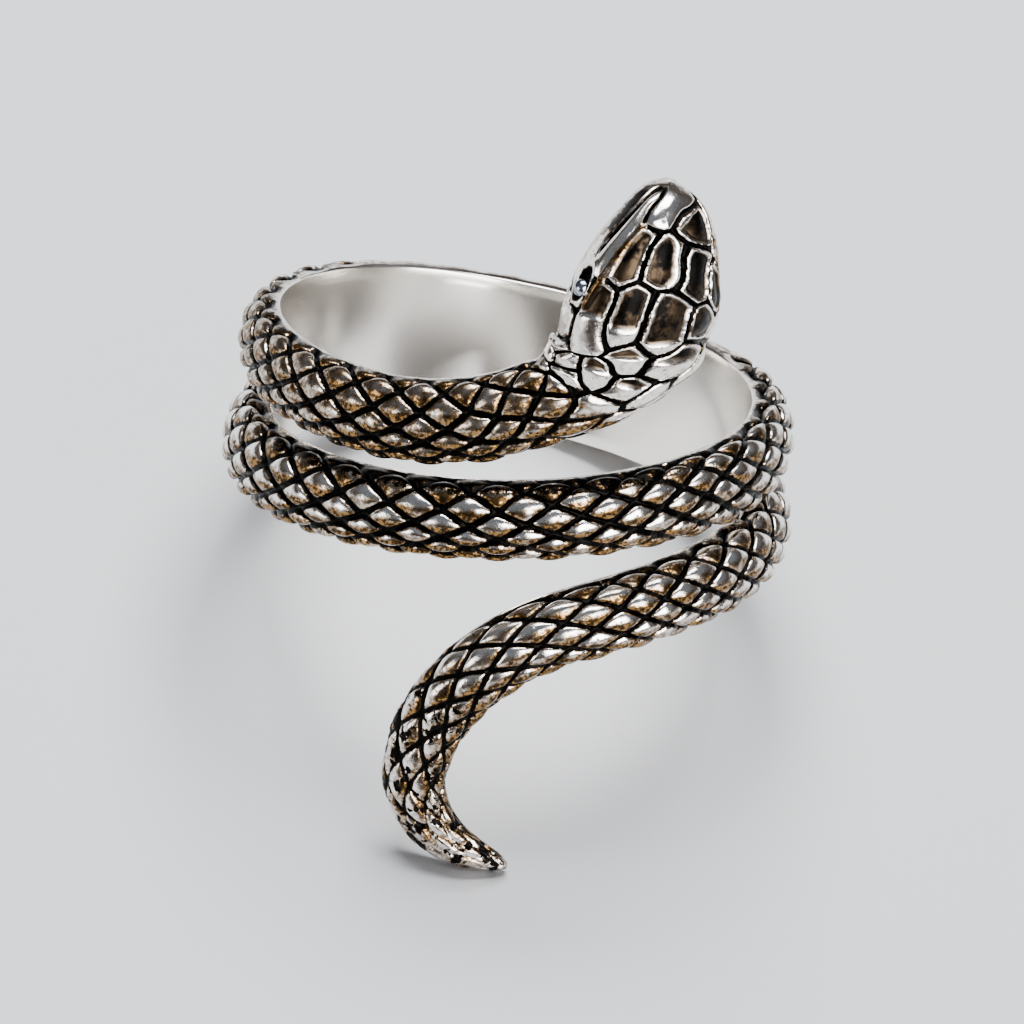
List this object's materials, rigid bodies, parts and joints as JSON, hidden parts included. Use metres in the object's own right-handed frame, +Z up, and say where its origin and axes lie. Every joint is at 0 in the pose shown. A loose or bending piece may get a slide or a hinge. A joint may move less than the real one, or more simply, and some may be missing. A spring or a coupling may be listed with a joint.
{
  "type": "snake wrap ring",
  "caption": "Finger ring in the form of a snake coiled round the finger, with a raised plated head, a scaled body and a curled tail, in antiqued silver.",
  "frame": {"origin": "On the table under the middle of the ring's box, with the ring resting on its tail and the back of its second turn", "axes": "+Z up from the table, -Y toward the front where the head and tail are, +X to the side the head is on"},
  "size_m": [0.0212, 0.0248, 0.0231],
  "materials": {
    "antiqued_silver": "cast sterling silver, black in the grooves and polished on the scales and inside",
    "polished_bead": "small polished bead"
  },
  "bodies": {
    "root": {"snake_band": "antiqued_silver", "eye_left": "polished_bead", "eye_right": "polished_bead"}
  },
  "joints": []
}
